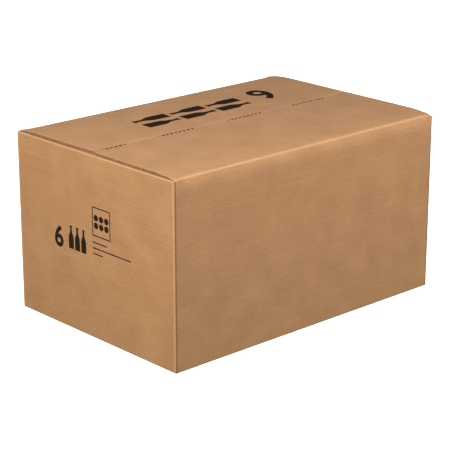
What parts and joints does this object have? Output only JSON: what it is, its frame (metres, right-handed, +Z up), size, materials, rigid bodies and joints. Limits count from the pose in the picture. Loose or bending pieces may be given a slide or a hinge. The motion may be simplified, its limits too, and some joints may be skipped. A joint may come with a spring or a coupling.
{
  "type": "bottle shipping box",
  "caption": "Closed slotted carton of brown corrugated board for lying bottles, with hinged outer top flaps and a half-lapped card fitment in layers inside.",
  "frame": {"origin": "middle of the underside, on the surface that the carton stands on", "axes": "+X along the length, +Y from the front wall to the back wall, +Z up"},
  "size_m": [0.43, 0.292, 0.232],
  "materials": {
    "kraft_board": "matt kraft liner",
    "fitment_board": "matt recycled liner"
  },
  "bodies": {
    "carton": {"carton": "kraft_board", "lower_divider_1": "fitment_board", "lower_divider_2": "fitment_board", "lower_end_stop_left": "fitment_board", "lower_end_stop_right": "fitment_board", "lower_cradle_left": "fitment_board", "lower_cradle_middle": "fitment_board", "lower_cradle_right": "fitment_board", "upper_divider_1": "fitment_board", "upper_divider_2": "fitment_board", "upper_end_stop_left": "fitment_board", "upper_end_stop_right": "fitment_board", "upper_cradle_left": "fitment_board", "upper_cradle_middle": "fitment_board", "upper_cradle_right": "fitment_board", "layer_pad": "fitment_board"},
    "front_flap": {"top_flap_front": "kraft_board"},
    "back_flap": {"top_flap_back": "kraft_board"}
  },
  "joints": [
    {"name": "front_flap_fold", "type": "hinge", "parent": "carton", "child": "front_flap", "pos_m": [0, -0.146, 0.232], "axis": [1, 0, 0], "range_deg": [0, 260]},
    {"name": "back_flap_fold", "type": "hinge", "parent": "carton", "child": "back_flap", "pos_m": [0, 0.146, 0.232], "axis": [-1, 0, 0], "range_deg": [0, 260]}
  ]
}
